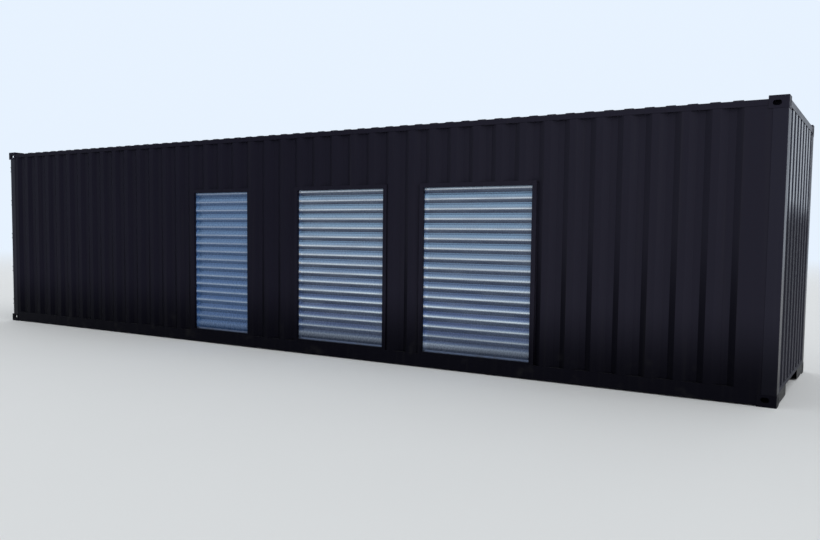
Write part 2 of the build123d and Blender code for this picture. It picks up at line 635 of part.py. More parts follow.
def door_leaf(side):
    y0, y1 = sorted((side * DOOR_INNER_Y, side * DOOR_OUTER_Y))
    panel_low = DOOR_LOW + DOOR_RAIL
    panel_high = DOOR_HIGH - DOOR_RAIL
    recess = DOOR_RECESS_INNER + 2 * SIDE_SLOPE
    flat = (panel_high - panel_low - DOOR_RECESSES * recess) / (DOOR_RECESSES + 1)
    line = pressed_line(
        panel_low + flat,
        DOOR_RECESSES,
        flat,
        SIDE_SLOPE,
        DOOR_RECESS_INNER,
        SIDE_DEPTH,
        panel_low,
        panel_high,
    )
    with BuildPart() as leaf:
        block((-DOOR_FACE, y0, DOOR_LOW), (-DOOR_FACE + DOOR_THICK, y1, DOOR_HIGH))
        block(
            (-DOOR_FACE, y0 + DOOR_STILE, panel_low),
            (-DOOR_FACE + DOOR_THICK, y1 - DOOR_STILE, panel_high),
            mode=Mode.SUBTRACT,
        )
        with BuildSketch(Plane.XZ.offset(-y1 + DOOR_STILE)):
            with BuildLine():
                Polyline(
                    *[(-DOOR_FACE + d, z) for z, d in line],
                    *[(-DOOR_FACE + d + SHEET, z) for z, d in reversed(line)],
                    close=True,
                )
            make_face()
        extrude(amount=y1 - y0 - 2 * DOOR_STILE)
    return leaf


finish(door_leaf(-1), "left_door")
finish(door_leaf(1), "right_door")

# Door gaskets: a strip round each leaf, between it and the frame
with BuildPart() as door_gaskets:
    for side in (-1, 1):
        y0, y1 = sorted((0, side * DOOR_OPENING_Y))
        l0, l1 = sorted((side * DOOR_INNER_Y, side * DOOR_OUTER_Y))
        front = -DOOR_FACE + DOOR_THICK - GASKET_THICK
        block((front, y0, RAIL_TOP), (front + GASKET_THICK, y1, DOOR_TOP))
        block((front, l0, DOOR_LOW), (front + GASKET_THICK, l1, DOOR_HIGH), mode=Mode.SUBTRACT)
finish(door_gaskets, "door_gaskets")

# Lock gear: rods with cams at their ends, straps over the rods, keepers, handles and catches
ROD_X = -DOOR_FACE - ROD_STANDOFF - ROD_RADIUS
ROD_PLACES = (ROD_FROM_MIDDLE, DOOR_OUTER_Y - ROD_FROM_HINGES)
ROD_YS = [side * place for side in (-1, 1) for place in ROD_PLACES]
KEEPER_LEVELS = (RAIL_TOP - KEEPER_HEIGHT, DOOR_TOP)
CAM_BACK = -DOOR_FACE - KEEPER_BASE - FIT
CAM_FRONT = -DOOR_FACE - KEEPER_BASE - KEEPER_REACH


def spread(low, high, count):
    """Levels evenly spread from the lowest to the highest."""
    return [low + (high - low) * k / (count - 1) for k in range(count)]


def arch(y, half):
    """Outline of a bridge over a rod at this place, from the door's face, with its corners cut."""
    cut = half / 2
    crown = ROD_X - half
    return [
        (-DOOR_FACE, y - half),
        (crown + cut, y - half),
        (crown, y - half + cut),
        (crown, y + half - cut),
        (crown + cut, y + half),
        (-DOOR_FACE, y + half),
    ]


def strap(y, level, height, width):
    """A strap bridging a rod, with a flange on the door's face at each side where it is wide enough."""
    inner = ROD_RADIUS + FIT
    with BuildPart() as bridge:
        with BuildSketch(Plane.XY.offset(level)):
            rectangle(-DOOR_FACE - STRAP, y - width / 2, -DOOR_FACE, y + width / 2)
            with BuildLine():
                Polyline(*arch(y, inner + STRAP), close=True)
            make_face()
            with BuildLine():
                Polyline(*arch(y, inner), close=True)
            make_face(mode=Mode.SUBTRACT)
        extrude(amount=height)
    return bridge


with BuildPart() as lock_rods:
    cam_low = KEEPER_LEVELS[0] + (KEEPER_HEIGHT - CAM_HEIGHT) / 2
    cam_high = KEEPER_LEVELS[1] + (KEEPER_HEIGHT - CAM_HEIGHT) / 2
    with BuildSketch(Plane.XY.offset(cam_low + CAM_HEIGHT)):
        with Locations(*[(ROD_X, y) for y in ROD_YS]):
            Circle(ROD_RADIUS)
    extrude(amount=cam_high - cam_low - CAM_HEIGHT)
    for y in ROD_YS:
        for level in (cam_low, cam_high):
            block((CAM_FRONT, y - CAM_WIDTH / 2, level), (CAM_BACK, y + CAM_WIDTH / 2, level + CAM_HEIGHT))
finish(lock_rods, "lock_rods")

with BuildPart() as cam_keepers:
    for level in KEEPER_LEVELS:
        with BuildSketch(Plane.XY.offset(level)):
            for y in ROD_YS:
                rectangle(-DOOR_FACE - KEEPER_BASE, y - KEEPER_WIDTH / 2, -DOOR_FACE, y + KEEPER_WIDTH / 2)
                for side in (-1, 1):
                    prong = y + side * (CAM_WIDTH / 2 + FIT + KEEPER_PRONG / 2)
                    rectangle(CAM_FRONT, prong - KEEPER_PRONG / 2, -DOOR_FACE, prong + KEEPER_PRONG / 2)
        extrude(amount=KEEPER_HEIGHT)
finish(cam_keepers, "cam_keepers")

STRAP_LEVELS = spread(DOOR_LOW + STRAP_MARGIN, DOOR_HIGH - STRAP_MARGIN - STRAP_HEIGHT, STRAP_ROWS)
with BuildPart() as rod_guides:
    for level in STRAP_LEVELS:
        for y in ROD_YS:
            add(strap(y, level, STRAP_HEIGHT, STRAP_WIDTH))
finish(rod_guides, "rod_guides")

HANDLE_LEVEL = STRAP_LEVELS[1] + STRAP_HEIGHT + HANDLE_ABOVE_STRAP
with BuildPart() as door_handles:
    for side in (-1, 1):
        for place, level, way in zip(ROD_PLACES, (HANDLE_LEVEL, HANDLE_LEVEL + HANDLE_STEP), (1, -1)):
            hub = ROD_RADIUS + FIT + STRAP
            free_end = place + way * (ROD_PLACES[1] - ROD_PLACES[0] - HANDLE_END_GAP)
            y0, y1 = sorted((side * (place + way * hub), side * free_end))
            bar_x = ROD_X - HANDLE_THICK / 2
            add(strap(side * place, level, HANDLE_HEIGHT, 2 * hub))
            block((bar_x, y0, level), (bar_x + HANDLE_THICK, y1, level + HANDLE_HEIGHT))
            catch_end = free_end - way * CATCH_FROM_END
            y0, y1 = sorted((side * catch_end, side * (catch_end + way * CATCH_WIDTH)))
            shelf = level - FIT
            lip_x = bar_x - FIT
            block((-DOOR_FACE - CATCH_PLATE, y0, shelf - CATCH_LIP), (-DOOR_FACE, y1, level + HANDLE_HEIGHT))
            block((lip_x - CATCH_PLATE, y0, shelf - CATCH_PLATE), (-DOOR_FACE, y1, shelf))
            block((lip_x - CATCH_PLATE, y0, shelf - CATCH_PLATE), (lip_x, y1, level + CATCH_LIP))
finish(door_handles, "door_handles")

# Hinges: a leaf along the door with its eye before the post, between two lugs on the post
with BuildPart() as door_hinges:
    face = -DOOR_FACE
    for side in (-1, 1):
        pin_y = side * (DOOR_OPENING_Y + CHANNEL_WIDTH / 2)
        eye_y = pin_y + side * HINGE_EYE
        for middle in spread(DOOR_LOW + HINGE_MARGIN, DOOR_HIGH - HINGE_MARGIN, HINGE_COUNT):
            with BuildSketch(Plane.XY.offset(middle - HINGE_HEIGHT / 2)):
                with BuildLine():
                    Polyline(
                        (face, side * (DOOR_OUTER_Y - HINGE_LENGTH)),
                        (face - HINGE_PLATE, side * (DOOR_OUTER_Y - HINGE_LENGTH)),
                        (face - HINGE_PLATE, pin_y - side * 2 * HINGE_EYE),
                        (face - 2 * HINGE_EYE, pin_y - side * HINGE_EYE / 2),
                        (face - 2 * HINGE_EYE, pin_y + side * HINGE_EYE / 2),
                        (face - HINGE_EYE, eye_y),
                        (face - FIT, eye_y),
                        (face - FIT, side * DOOR_OUTER_Y),
                        (face, side * DOOR_OUTER_Y),
                        close=True,
                    )
                make_face()
            extrude(amount=HINGE_HEIGHT)
            for level in (middle - HINGE_HEIGHT / 2 - FIT - HINGE_LUG, middle + HINGE_HEIGHT / 2 + FIT):
                low_y, high_y = sorted((pin_y - side * HINGE_EYE, eye_y))
                block((face - 2 * HINGE_EYE, low_y, level), (face, high_y, level + HINGE_LUG))
finish(door_hinges, "door_hinges")
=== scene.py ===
"""Looks of the storage container: black painted steel with three galvanised roll-up shutters.

Everything is in metres, in the part's own frame: +X to the closed front end, -Y to the shutters, +Z up.
"""

import json
from itertools import product
from math import asin, cos, pi, radians, sin

import bmesh
import bpy
from mathutils import Matrix, Vector


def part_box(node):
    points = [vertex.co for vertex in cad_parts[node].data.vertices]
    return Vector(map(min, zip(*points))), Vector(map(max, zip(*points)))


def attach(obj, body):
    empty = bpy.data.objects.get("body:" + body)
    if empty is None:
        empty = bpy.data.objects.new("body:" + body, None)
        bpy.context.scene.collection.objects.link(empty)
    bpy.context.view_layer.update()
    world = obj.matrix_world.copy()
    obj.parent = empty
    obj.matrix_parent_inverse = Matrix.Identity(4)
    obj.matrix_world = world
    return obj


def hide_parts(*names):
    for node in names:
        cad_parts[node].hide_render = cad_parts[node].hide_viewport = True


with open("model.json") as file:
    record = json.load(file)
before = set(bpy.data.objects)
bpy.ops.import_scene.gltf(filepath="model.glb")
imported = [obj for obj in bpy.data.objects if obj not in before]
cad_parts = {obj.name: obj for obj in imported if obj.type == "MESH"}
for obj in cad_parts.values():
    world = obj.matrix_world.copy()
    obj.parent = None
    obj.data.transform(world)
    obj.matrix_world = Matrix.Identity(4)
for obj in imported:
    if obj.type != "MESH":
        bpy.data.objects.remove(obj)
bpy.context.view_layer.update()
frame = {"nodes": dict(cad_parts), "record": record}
scene = bpy.context.scene

# The photograph's camera
CAMERA_PLACE = (6.991, -9.175, 1.590)
CAMERA_TURN = 31.77  # degrees to the left of +Y
CAMERA_PITCH = -3.83
CAMERA_ROLL = 0.68
SENSOR = 36.0
PHOTO_WIDTH = 820
FOCAL_PIXELS = 786.1
CENTRE_BELOW = 16.2  # pixels from the picture's middle down to the optical axis
VIEW_REACH = 2000.0  # how far away the camera still shows things

# Stage and light
FLOOR_SIZE = 1600.0
FLOOR_FADES = (14.0, 60.0)  # distances from the middle over which the floor turns into background
FLOOR_COLOUR = (0.80, 0.80, 0.79)
FLOOR_SHADE = 0.97  # how bright the floor's darker patches are beside the others
BACKGROUND_COLOUR = (0.80, 0.89, 1.0)
SKY_COLOUR = (0.90, 0.95, 1.0)
SKY_STRENGTH = 0.62
LAMP_ANGLE = 90.0

# Each lamp's name, its strength and the direction that its light comes from
LAMPS = (("front_lamp", 1.3, (0.95, -0.62, 0.80)), ("back_lamp", 0.6, (-0.75, 1.0, 0.65)))

# Rays that meet the pale background, while all others meet the light
SEEN_RAYS = ("Is Camera Ray", "Is Glossy Ray", "Is Transmission Ray")

# Black paint: its gloss on the sides, on the posts and headers and on the ends, and its gloss's tint
SIDE_GLOSS = 0.02
POST_GLOSS = 0.08
END_GLOSS = 0.25
PAINT_TINT = (0.76, 0.80, 1.0)

# Colours of the black paint: its two tones, paler to the front, painted shade on flanks that face the
# doors, painted shade near the ground, and dust
PAINT_TONES = ((0.0090, 0.0083, 0.0146), (0.0120, 0.0109, 0.0194))
TOWARDS_FRONT_COLOUR = (0.0240, 0.0224, 0.0338)
FLANK_SHADE_COLOUR = (0.0052, 0.0048, 0.0084)
FOOT_SHADE_COLOUR = (0.0016, 0.0015, 0.0030)
DUST_COLOUR = (0.060, 0.058, 0.053)

# Where each of these starts to grow and where it is full: places along x, and heights
TOWARDS_FRONT_ALONG = (-1.0, 5.0)
FLANK_SHADE_LEVELS = (1.75, 0.75)
FOOT_SHADE_LEVELS = (0.95, 0.18)
SPLASH_LEVELS = (0.55, 0.20)
TOP_DUST_LEVELS = (0.3, 2.0)
END_DUST_LEVELS = (2.12, 1.84)
END_DUST_RAGGED = 0.30  # how much of its noise is added to a height, to break up the dust's edge

# Painted reflections on a shutter's rib from its underside (0) to its top (1), low down and high up on the
# curtain
RIB_REFLECTIONS_LOW = (
    (0.02, (0.036, 0.056, 0.115)),
    (0.18, (0.032, 0.052, 0.105)),
    (0.34, (0.085, 0.105, 0.155)),
    (0.44, (0.700, 0.800, 0.880)),
    (0.50, (0.850, 0.950, 1.000)),
    (0.58, (0.330, 0.420, 0.560)),
    (0.72, (0.110, 0.165, 0.320)),
    (0.86, (0.040, 0.068, 0.170)),
    (0.97, (0.028, 0.046, 0.140)),
)
RIB_REFLECTIONS_HIGH = (
    (0.02, (0.036, 0.050, 0.094)),
    (0.16, (0.050, 0.072, 0.125)),
    (0.29, (0.105, 0.125, 0.175)),
    (0.42, (0.860, 0.930, 1.000)),
    (0.48, (0.320, 0.380, 0.460)),
    (0.62, (0.220, 0.310, 0.425)),
    (0.84, (0.220, 0.350, 0.490)),
    (0.97, (0.055, 0.095, 0.170)),
)
RIB_REFLECTION_LEVELS = (0.4, 1.9)  # heights from the low tones to the high ones

# Lowest rib: the doorway's foot (0), the groove over the rib (1), and the painted shade and highlight
# between them
LAST_RIB = (0.190, 0.330)
LAST_RIB_BLEND = 0.015  # height over which they take over from the other ribs' colours
LAST_RIB_SHADING = (
    (0.05, (0.060, 0.078, 0.120)),
    (0.35, (0.105, 0.130, 0.185)),
    (0.60, (0.175, 0.210, 0.265)),
    (0.70, (0.225, 0.265, 0.325)),
    (0.80, (0.095, 0.135, 0.225)),
    (0.94, (0.030, 0.048, 0.110)),
)

# Stretches in which the lowest rib is darker still: from x, to x, and by how much
LAST_DARKENED_ALONG = ((2.2, 1.7, 0.42), (2.4, 3.2, 0.30))
LAST_DARKENED_COLOUR = (0.030, 0.042, 0.070)

# Dull streaks, painted shade near the ground, the bluer rear shutter and the crystals of the zinc
STREAK_COLOUR = (0.17, 0.21, 0.28)
LOW_SHADE_COLOUR = (0.045, 0.066, 0.125)
LOW_SHADE_LEVELS = (0.70, 0.18)
BLUE_COLOUR = (0.03, 0.10, 0.25)
BLUE_ALONG = (0.4, -0.6)
CRYSTAL_COLOUR = (0.42, 0.47, 0.54)
CRYSTALS = 70.0  # how many lie along a metre

# Left edges of the doorways, beside which painted light makes the sheet paler against the jambs' shade: how
# far in, and by how much
DOORWAY_LEFTS = (-1.5875, 0.3155, 2.2255)
EDGE_LIGHT_REACH = 0.075
EDGE_LIGHT_GAIN = 1.1

# The other materials: their two tones, and the tone of marks on them
BAR_TONES = ((0.105, 0.135, 0.205), (0.175, 0.215, 0.320))
BAR_SCUFFS = (0.10, 0.10, 0.10)
GEAR_TONES = ((0.007, 0.007, 0.009), (0.11, 0.10, 0.095))  # painted and worn
PIN_TONES = ((0.16, 0.155, 0.15), (0.10, 0.045, 0.022))  # steel and rust
COATING_TONES = ((0.006, 0.006, 0.006), (0.022, 0.020, 0.018))
WOOD_TONES = ((0.13, 0.065, 0.030), (0.34, 0.20, 0.11))
WOOD_WEAR = (0.06, 0.045, 0.035)
RUBBER_TONES = ((0.010, 0.010, 0.010), (0.035, 0.034, 0.033))


class Surface:
    """A material under construction, with short calls for the nodes it needs."""

    def __init__(self, name):
        self.material = bpy.data.materials.new(name)
        self.material.use_nodes = True
        self.tree = self.material.node_tree
        self.shader = self.tree.nodes["Principled BSDF"]
        self.place = self.node("ShaderNodeTexCoord").outputs["Object"]

    def node(self, kind, **settings):
        """A new node of a kind, with its settings."""
        made = self.tree.nodes.new(kind)
        for key, value in settings.items():
            setattr(made, key, value)
        return made

    def feed(self, socket, value):
        """Set a socket to a number, a colour or another node's output."""
        if isinstance(value, bpy.types.NodeSocket):
            self.tree.links.new(value, socket)
        elif isinstance(value, (tuple, list)) and len(socket.default_value) == len(value) + 1:
            socket.default_value = (*value, 1.0)
        else:
            socket.default_value = value

    def math(self, operation, a, b=0.0):
        """The result of a sum, a product or the like on two values."""
        made = self.node("ShaderNodeMath", operation=operation)
        self.feed(made.inputs[0], a)
        self.feed(made.inputs[1], b)
        return made.outputs[0]

    def span(self, value, low, high, to_low=0.0, to_high=1.0):
        """Map a value from one span to another, held at both ends."""
        made = self.node("ShaderNodeMapRange", interpolation_type="SMOOTHSTEP")
        for name, number in (
            ("Value", value),
            ("From Min", low),
            ("From Max", high),
            ("To Min", to_low),
            ("To Max", to_high),
        ):
            self.feed(made.inputs[name], number)
        return made.outputs[0]

    def mix(self, share, first, second):
        """The first colour at a share of 0, and the second at 1."""
        made = self.node("ShaderNodeMix", data_type="RGBA")
        self.feed(made.inputs["Factor"], share)
        self.feed(made.inputs[6], first)
        self.feed(made.inputs[7], second)
        return made.outputs[2]

    def ramp(self, value, stops):
        """Colours along a value, given as (value, colour) pairs."""
        made = self.node("ShaderNodeValToRGB")
        self.feed(made.inputs[0], value)
        elements = made.color_ramp.elements
        while len(elements) < len(stops):
            elements.new(1.0)
        for element, (at, colour) in zip(elements, stops):
            element.position = at
            element.color = (*colour, 1.0)
        return made.outputs[0]

    def lifted(self, colour, factor):
        """A colour made brighter by a factor, and no brighter than white."""
        scaled = self.node("ShaderNodeVectorMath", operation="SCALE")
        self.feed(scaled.inputs[0], colour)
        self.feed(scaled.inputs["Scale"], factor)
        held = self.node("ShaderNodeVectorMath", operation="MINIMUM")
        self.feed(held.inputs[0], scaled.outputs[0])
        held.inputs[1].default_value = (1.0, 1.0, 1.0)
        return held.outputs[0]

    def stretched(self, scale):
        """The part's coordinates, each multiplied by its own factor."""
        made = self.node("ShaderNodeMapping")
        self.feed(made.inputs["Vector"], self.place)
        made.inputs["Scale"].default_value = scale
        return made.outputs["Vector"]

    def noise(self, scale, detail=3.0, stretch=None):
        """Soft patches from 0 to 1, smaller at a larger scale."""
        made = self.node("ShaderNodeTexNoise")
        self.feed(made.inputs["Vector"], self.stretched(stretch) if stretch else self.place)
        made.inputs["Scale"].default_value = scale
        made.inputs["Detail"].default_value = detail
        return made.outputs["Fac"]

    def cells(self, scale):
        """Patches with straight edges, each of its own random colour."""
        made = self.node("ShaderNodeTexVoronoi")
        self.feed(made.inputs["Vector"], self.place)
        made.inputs["Scale"].default_value = scale
        return made.outputs["Color"]

    def axis(self, name):
        """How far along an axis of the part a point lies."""
        made = self.node("ShaderNodeSeparateXYZ")
        self.feed(made.inputs[0], self.place)
        return made.outputs[name]

    def facing(self, name):
        """How far the surface faces along an axis of the part, from -1 to 1."""
        made = self.node("ShaderNodeSeparateXYZ")
        self.feed(made.inputs[0], self.node("ShaderNodeNewGeometry").outputs["Normal"])
        return made.outputs[name]

    def bumps(self, *layers, edge=0.0):
        """Stack bump layers, each (height, strength, distance), over edges rounded by a radius."""
        normal = None
        if edge:
            rounded = self.node("ShaderNodeBevel", samples=4)
            rounded.inputs["Radius"].default_value = edge
            normal = rounded.outputs[0]
        for height, strength, distance in layers:
            made = self.node("ShaderNodeBump")
            made.inputs["Strength"].default_value = strength
            made.inputs["Distance"].default_value = distance
            self.feed(made.inputs["Height"], height)
            if normal:
                self.feed(made.inputs["Normal"], normal)
            normal = made.outputs[0]
        self.feed(self.shader.inputs["Normal"], normal)

    def finish(self, colour, roughness, metallic=0.0, specular=0.5, tint=None):
        """Set the shader and give the finished material."""
        self.feed(self.shader.inputs["Base Color"], colour)
        self.feed(self.shader.inputs["Roughness"], roughness)
        self.shader.inputs["Metallic"].default_value = metallic
        self.feed(self.shader.inputs["Specular IOR Level"], specular)
        if tint:
            self.feed(self.shader.inputs["Specular Tint"], tint)
        return self.material


def paint_layers(s):
    """What all the black paint shares: height, a broad noise, the dust on it and its own tones."""
    height = s.axis("Z")
    broad = s.noise(0.7, detail=4.0)
    streaks = s.span(s.noise(1.0, detail=5.0, stretch=(22.0, 22.0, 0.5)), 0.52, 0.74)
    splashes = s.span(s.noise(5.0, detail=6.0), 0.55, 0.75)
    splashes = s.math("MULTIPLY", s.span(height, *SPLASH_LEVELS), splashes)
    settled = s.span(s.noise(1.4, detail=7.0), 0.30, 0.72, 0.45, 1.0)
    top = s.math("MULTIPLY", s.span(s.facing("Z"), 0.55, 0.95), settled)
    top = s.math("MULTIPLY", top, s.span(height, *TOP_DUST_LEVELS, 0.25, 1.0))
    dust = s.math("MAXIMUM", s.math("MULTIPLY", splashes, 0.10), s.math("MULTIPLY", top, 0.75))
    dust = s.math("MAXIMUM", dust, s.math("MULTIPLY", streaks, 0.04))
    return height, broad, dust, s.mix(broad, *PAINT_TONES)


def paint_bumps(s):
    """The black paint's broad waves and fine grain, over rounded edges."""
    waves = s.noise(1.6, detail=2.0)
    grain = s.noise(260.0, detail=2.0)
    s.bumps((waves, 0.35, 0.004), (grain, 0.12, 0.0004), edge=0.003)


def side_paint(name, gloss):
    """Black paint of the long sides, roof and frame: paler to the front, painted shade low down and on
    flanks.
    """
    s = Surface(name)
    height, broad, dust, paint = paint_layers(s)
    # Paler towards the front end
    towards_front = s.math("MULTIPLY", s.span(s.axis("X"), *TOWARDS_FRONT_ALONG), 0.65)
    paint = s.mix(towards_front, paint, TOWARDS_FRONT_COLOUR)
    # Painted shade: flanks that face the doors are darkened, the more so lower down
    to_doors = s.span(s.facing("X"), -0.15, -0.40)
    flank_shade = s.math("MULTIPLY", to_doors, s.span(height, *FLANK_SHADE_LEVELS, 0.18, 0.90))
    paint = s.mix(flank_shade, paint, FLANK_SHADE_COLOUR)
    # Painted shade, deepening towards the ground
    paint = s.mix(s.span(height, *FOOT_SHADE_LEVELS, 0.0, 0.85), paint, FOOT_SHADE_COLOUR)
    roughness = s.math("ADD", s.span(broad, 0.3, 0.7, 0.28, 0.40), s.math("MULTIPLY", dust, 0.5))
    paint_bumps(s)
    return s.finish(s.mix(dust, paint, DUST_COLOUR), roughness, specular=gloss, tint=PAINT_TINT)


def end_paint():
    """Black paint of the two ends: glossy in their top third, and dulled by dust below it."""
    s = Surface("end_paint")
    height, broad, dust, paint = paint_layers(s)
    ragged = s.math("ADD", height, s.math("MULTIPLY", s.noise(3.0, detail=5.0), END_DUST_RAGGED))
    dusty = s.span(ragged, *END_DUST_LEVELS)
    dust = s.math("MAXIMUM", dust, s.math("MULTIPLY", dusty, 0.10))
    roughness = s.math("ADD", s.span(broad, 0.3, 0.7, 0.20, 0.28), s.math("MULTIPLY", dusty, 0.46))
    roughness = s.math("ADD", roughness, s.math("MULTIPLY", dust, 0.3))
    paint_bumps(s)
    return s.finish(s.mix(dust, paint, DUST_COLOUR), roughness, specular=END_GLOSS, tint=PAINT_TINT)


def rib_reflections(s):
    """The curtains' painted reflections by how far the sheet faces up, with streaks along it and painted
    shade lower down.
    """
    # Painted reflections: the sheet is coloured by how far it faces up, as if sky, horizon and shaded
    # ground shone in it
    tilt = s.math("ADD", s.facing("Z"), 0.5)
    risen = s.span(s.axis("Z"), *RIB_REFLECTION_LEVELS)
    sheet = s.mix(risen, s.ramp(tilt, RIB_REFLECTIONS_LOW), s.ramp(tilt, RIB_REFLECTIONS_HIGH))
    streaks = s.span(s.noise(2.2, detail=4.0, stretch=(1.0, 1.0, 6.0)), 0.35, 0.75, 0.0, 0.30)
    sheet = s.mix(streaks, sheet, STREAK_COLOUR)
    # Painted shade: the sheet darkens towards the ground
    return s.mix(s.span(s.axis("Z"), *LOW_SHADE_LEVELS, 0.0, 0.85), sheet, LOW_SHADE_COLOUR)


def last_rib_shading(s):
    """The lowest rib's painted shade and highlight by height, with its darker stretches."""
    low, high = LAST_RIB
    above = s.math("DIVIDE", s.math("SUBTRACT", s.axis("Z"), low), high - low)
    # Darker in the given stretches
    darkened = 0.0
    for start, stop, share in LAST_DARKENED_ALONG:
        darkened = s.math("MAXIMUM", darkened, s.span(s.axis("X"), start, stop, 0.0, share))
    return s.mix(darkened, s.ramp(above, LAST_RIB_SHADING), LAST_DARKENED_COLOUR)


def painted_edge_light(s):
    """How many times brighter painted light makes the sheet: most at a doorway's left edge, and once away
    from it.
    """
    gain = 1.0
    for left in DOORWAY_LEFTS:
        inward = s.math("ABSOLUTE", s.math("SUBTRACT", s.axis("X"), left))
        gain = s.math("ADD", s.span(inward, EDGE_LIGHT_REACH, 0.0, 0.0, EDGE_LIGHT_GAIN), gain)
    return gain


def galvanised_steel():
    """Galvanised sheet of the curtains and guides: painted reflections, pale at a rib's crest, dark below,
    bluish above.
    """
    s = Surface("galvanised_steel")
    crystals = s.node("ShaderNodeSeparateColor")
    s.feed(crystals.inputs[0], s.cells(CRYSTALS))
    top = LAST_RIB[1]
    # Below the groove over it, the lowest rib's painted shade and highlight take over
    sheet = s.mix(s.span(s.axis("Z"), top, top - LAST_RIB_BLEND), rib_reflections(s), last_rib_shading(s))
    sheet = s.mix(s.span(s.axis("X"), *BLUE_ALONG, 0.0, 0.60), sheet, BLUE_COLOUR)
    # Painted light beside the doorways' left edges, against the shade the jambs cast
    sheet = s.lifted(sheet, painted_edge_light(s))
    colour = s.mix(s.math("MULTIPLY", crystals.outputs[0], 0.05), sheet, CRYSTAL_COLOUR)
    roughness = s.span(crystals.outputs[1], 0.0, 1.0, 0.25, 0.31)
    waves = s.noise(3.0, detail=2.0, stretch=(1.0, 1.0, 0.4))
    grain = s.noise(180.0, detail=2.0)
    s.bumps((waves, 0.25, 0.002), (grain, 0.08, 0.0003))
    return s.finish(colour, roughness, metallic=0.30)


def mill_aluminium():
    """The shutters' bottom bars: brushed along their length, and scuffed."""
    s = Surface("mill_aluminium")
    grain = s.noise(1.0, detail=4.0, stretch=(2.0, 400.0, 400.0))
    scuffs = s.span(s.noise(14.0, detail=6.0), 0.55, 0.75)
    colour = s.mix(grain, *BAR_TONES)
    colour = s.mix(s.math("MULTIPLY", scuffs, 0.5), colour, BAR_SCUFFS)
    s.bumps((grain, 0.1, 0.0003), edge=0.0015)
    return s.finish(colour, s.span(grain, 0.3, 0.7, 0.32, 0.48), metallic=0.8)


def gear_paint():
    """Black paint on the lock gear, with greyer worn patches."""
    s = Surface("gear_paint")
    worn = s.span(s.noise(26.0, detail=6.0), 0.60, 0.70)
    colour = s.mix(s.math("MULTIPLY", worn, 0.6), *GEAR_TONES)
    s.bumps((s.noise(120.0, detail=3.0), 0.2, 0.0005), edge=0.002)
    return s.finish(colour, s.span(worn, 0.0, 1.0, 0.34, 0.5), specular=0.3)


def worn_steel():
    """Bare steel of the hinge pins, with patches of rust."""
    s = Surface("worn_steel")
    rust = s.span(s.noise(60.0, detail=6.0), 0.48, 0.66)
    colour = s.mix(rust, *PIN_TONES)
    s.bumps((s.noise(200.0, detail=3.0), 0.2, 0.0004))
    return s.finish(colour, s.span(rust, 0.0, 1.0, 0.36, 0.8), metallic=0.7)


def underside_coating():
    """Thick matt bituminous coating under the floor."""
    s = Surface("underside_coating")
    lumps = s.noise(45.0, detail=5.0)
    colour = s.mix(s.span(s.noise(2.0, detail=4.0), 0.4, 0.7), *COATING_TONES)
    s.bumps((lumps, 0.5, 0.002), edge=0.002)
    return s.finish(colour, s.span(lumps, 0.3, 0.7, 0.55, 0.8), specular=0.3)


def floor_plywood():
    """Container plywood: long grain, with darker worn patches."""
    s = Surface("floor_plywood")
    grain = s.noise(3.0, detail=8.0, stretch=(1.0, 26.0, 26.0))
    wood = s.mix(grain, *WOOD_TONES)
    worn = s.span(s.noise(4.0, detail=5.0), 0.5, 0.8, 0.0, 0.5)
    colour = s.mix(worn, wood, WOOD_WEAR)
    s.bumps((grain, 0.3, 0.0006), edge=0.0015)
    return s.finish(colour, s.span(grain, 0.3, 0.7, 0.42, 0.62))


def gasket_rubber():
    """Black door rubber, greyed by weather."""
    s = Surface("gasket_rubber")
    bloom = s.span(s.noise(11.0, detail=5.0), 0.4, 0.75)
    colour = s.mix(bloom, *RUBBER_TONES)
    s.bumps((s.noise(90.0, detail=3.0), 0.25, 0.0006))
    return s.finish(colour, s.span(bloom, 0.0, 1.0, 0.5, 0.7), specular=0.35)


MATERIALS = {
    "black_paint": side_paint("black_paint", SIDE_GLOSS),
    "post_paint": side_paint("post_paint", POST_GLOSS),
    "end_paint": end_paint(),
    "black_paint_on_gear": gear_paint(),
    "worn_steel": worn_steel(),
    "underside_coating": underside_coating(),
    "galvanised_steel": galvanised_steel(),
    "mill_aluminium": mill_aluminium(),
    "floor_plywood": floor_plywood(),
    "gasket_rubber": gasket_rubber(),
}
POSTS = ("front_corner_posts", "rear_corner_posts", "front_top_rail", "door_header")
ENDS = ("front_wall", "front_sill", "door_sill", "left_door", "right_door")
for part in frame["record"]["subparts"]:
    finish = part["material_slot"]
    if part["node"] in POSTS:
        finish = "post_paint"
    elif part["node"] in ENDS:
        finish = "end_paint"
    for held in frame["nodes"][part["node"]].material_slots:
        held.material = MATERIALS[finish]


def add_mesh(name, bm, material, smooth_below=None):
    """Put a finished bmesh into the scene as a piece of the container."""
    mesh = bpy.data.meshes.new(name)
    bm.to_mesh(mesh)
    bm.free()
    if smooth_below is not None:
        mesh.shade_smooth()
        mesh.set_sharp_from_angle(angle=radians(smooth_below))
    mesh.materials.append(MATERIALS[material])
    piece = bpy.data.objects.new(name, mesh)
    scene.collection.objects.link(piece)
    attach(piece, "root")
    return piece


# How far up a disc its bevel starts, and how wide its top is, both as a share of the whole
DISC_RIM = 0.72

# Corners of a box's six faces, each in turn seen from outside
BOX_FACES = ((0, 1, 3, 2), (4, 6, 7, 5), (0, 4, 5, 1), (2, 3, 7, 6), (0, 2, 6, 4), (1, 5, 7, 3))


